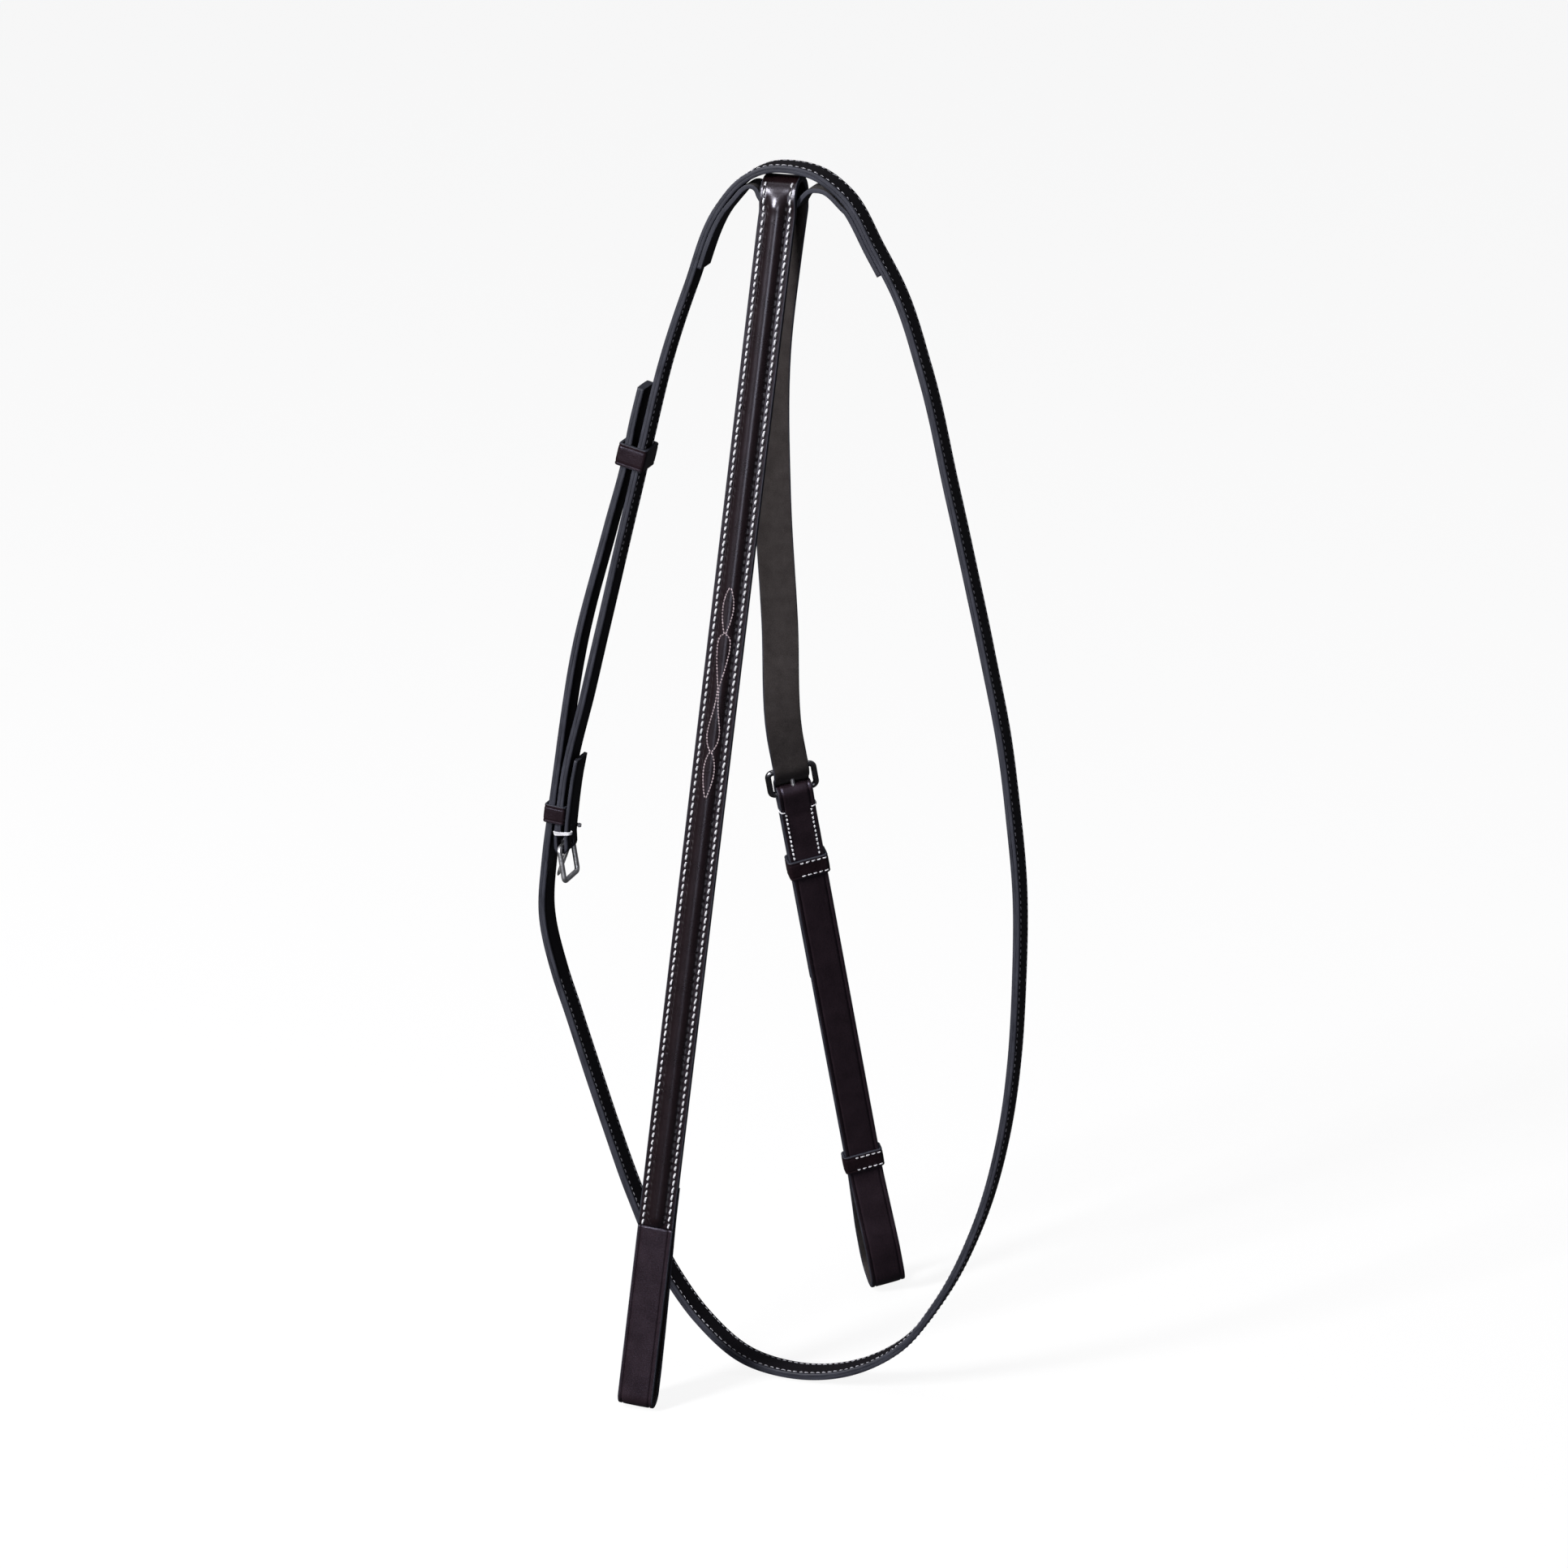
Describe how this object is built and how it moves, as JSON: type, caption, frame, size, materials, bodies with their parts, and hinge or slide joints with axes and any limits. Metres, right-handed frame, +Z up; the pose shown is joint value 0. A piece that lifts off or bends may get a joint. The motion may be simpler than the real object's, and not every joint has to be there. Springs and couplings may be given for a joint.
{
  "type": "standing martingale",
  "caption": "Standing martingale: a buckled neck strap with a raised, stitched strap through its slot, a noseband loop and a buckled girth loop.",
  "frame": {"origin": "top of the neck strap's crown, where the martingale hangs from a peg", "axes": "+Z up, the neck strap's ring lies in the XZ plane, the raised front leg hangs on the -Y side"},
  "size_m": [0.2635, 0.2255, 0.6568],
  "materials": {
    "grain_leather": "waxed grain, satin",
    "raised_leather": "glazed grain, glossy on the crown",
    "keeper_leather": "waxed grain, satin",
    "lining_leather": "matte lining",
    "flesh_leather": "dyed flesh side, matte",
    "filler_cord": "matte",
    "white_thread": "waxed thread",
    "fancy_thread": "waxed thread",
    "dark_thread": "waxed thread",
    "steel": "polished stainless steel"
  },
  "bodies": {
    "root": {"neck_strap_outer": "grain_leather", "neck_strap_lining": "lining_leather", "slot_loop": "lining_leather", "neck_strap_stitching": "dark_thread", "neck_fixed_keeper": "keeper_leather", "neck_chape_stitch": "white_thread", "body_strap_fold": "grain_leather"},
    "neck_runner": {"neck_runner_keeper": "keeper_leather"},
    "neck_buckle": {"neck_buckle_frame": "steel"},
    "neck_tongue": {"neck_buckle_tongue": "steel"},
    "front_leg": {"body_strap_backing": "lining_leather", "body_strap_face": "raised_leather", "body_strap_filler": "filler_cord", "front_edge_stitching": "white_thread", "front_fancy_stitching": "fancy_thread", "noseband_loop": "grain_leather"},
    "rear_leg": {"rear_leg_strap": "flesh_leather", "girth_strap": "grain_leather", "girth_buckle_frame": "steel", "girth_fixed_keeper": "keeper_leather", "girth_chape_stitching": "white_thread", "girth_fixed_keeper_stitching": "white_thread"},
    "girth_tongue": {"girth_buckle_tongue": "steel"},
    "girth_runner": {"girth_runner_keeper": "keeper_leather", "girth_runner_stitching": "white_thread"}
  },
  "joints": [
    {"name": "front_leg_swing", "type": "hinge", "parent": "root", "child": "front_leg", "pos_m": [0.0004, -0.01015, -0.023], "axis": [1, 0, 0], "range_deg": [-60, 3.4]},
    {"name": "rear_leg_swing", "type": "hinge", "parent": "root", "child": "rear_leg", "pos_m": [0.0004, 0.01015, -0.023], "axis": [1, 0, 0], "range_deg": [-10, 60]},
    {"name": "neck_runner_slide", "type": "slide", "parent": "root", "child": "neck_runner", "axis": [0.2385, 0, 0.9711], "range_m": [-0.008, 0.008]},
    {"name": "neck_buckle_swivel", "type": "hinge", "parent": "root", "child": "neck_buckle", "pos_m": [-0.12, 0, -0.372], "axis": [0, 1, 0], "range_deg": [-40, 4]},
    {"name": "neck_tongue_swing", "type": "hinge", "parent": "neck_buckle", "child": "neck_tongue", "pos_m": [-0.12, 0, -0.372], "axis": [0, 1, 0], "range_deg": [-13, 3]},
    {"name": "girth_tongue_lift", "type": "hinge", "parent": "rear_leg", "child": "girth_tongue", "pos_m": [-0.00912, 0.04637, -0.34589], "axis": [0.8526, 0.4793, 0.2081], "range_deg": [-8, 0]},
    {"name": "girth_runner_slide", "type": "slide", "parent": "rear_leg", "child": "girth_runner", "axis": [-0.0704, -0.2894, 0.9546], "range_m": [0, 0.11]}
  ]
}
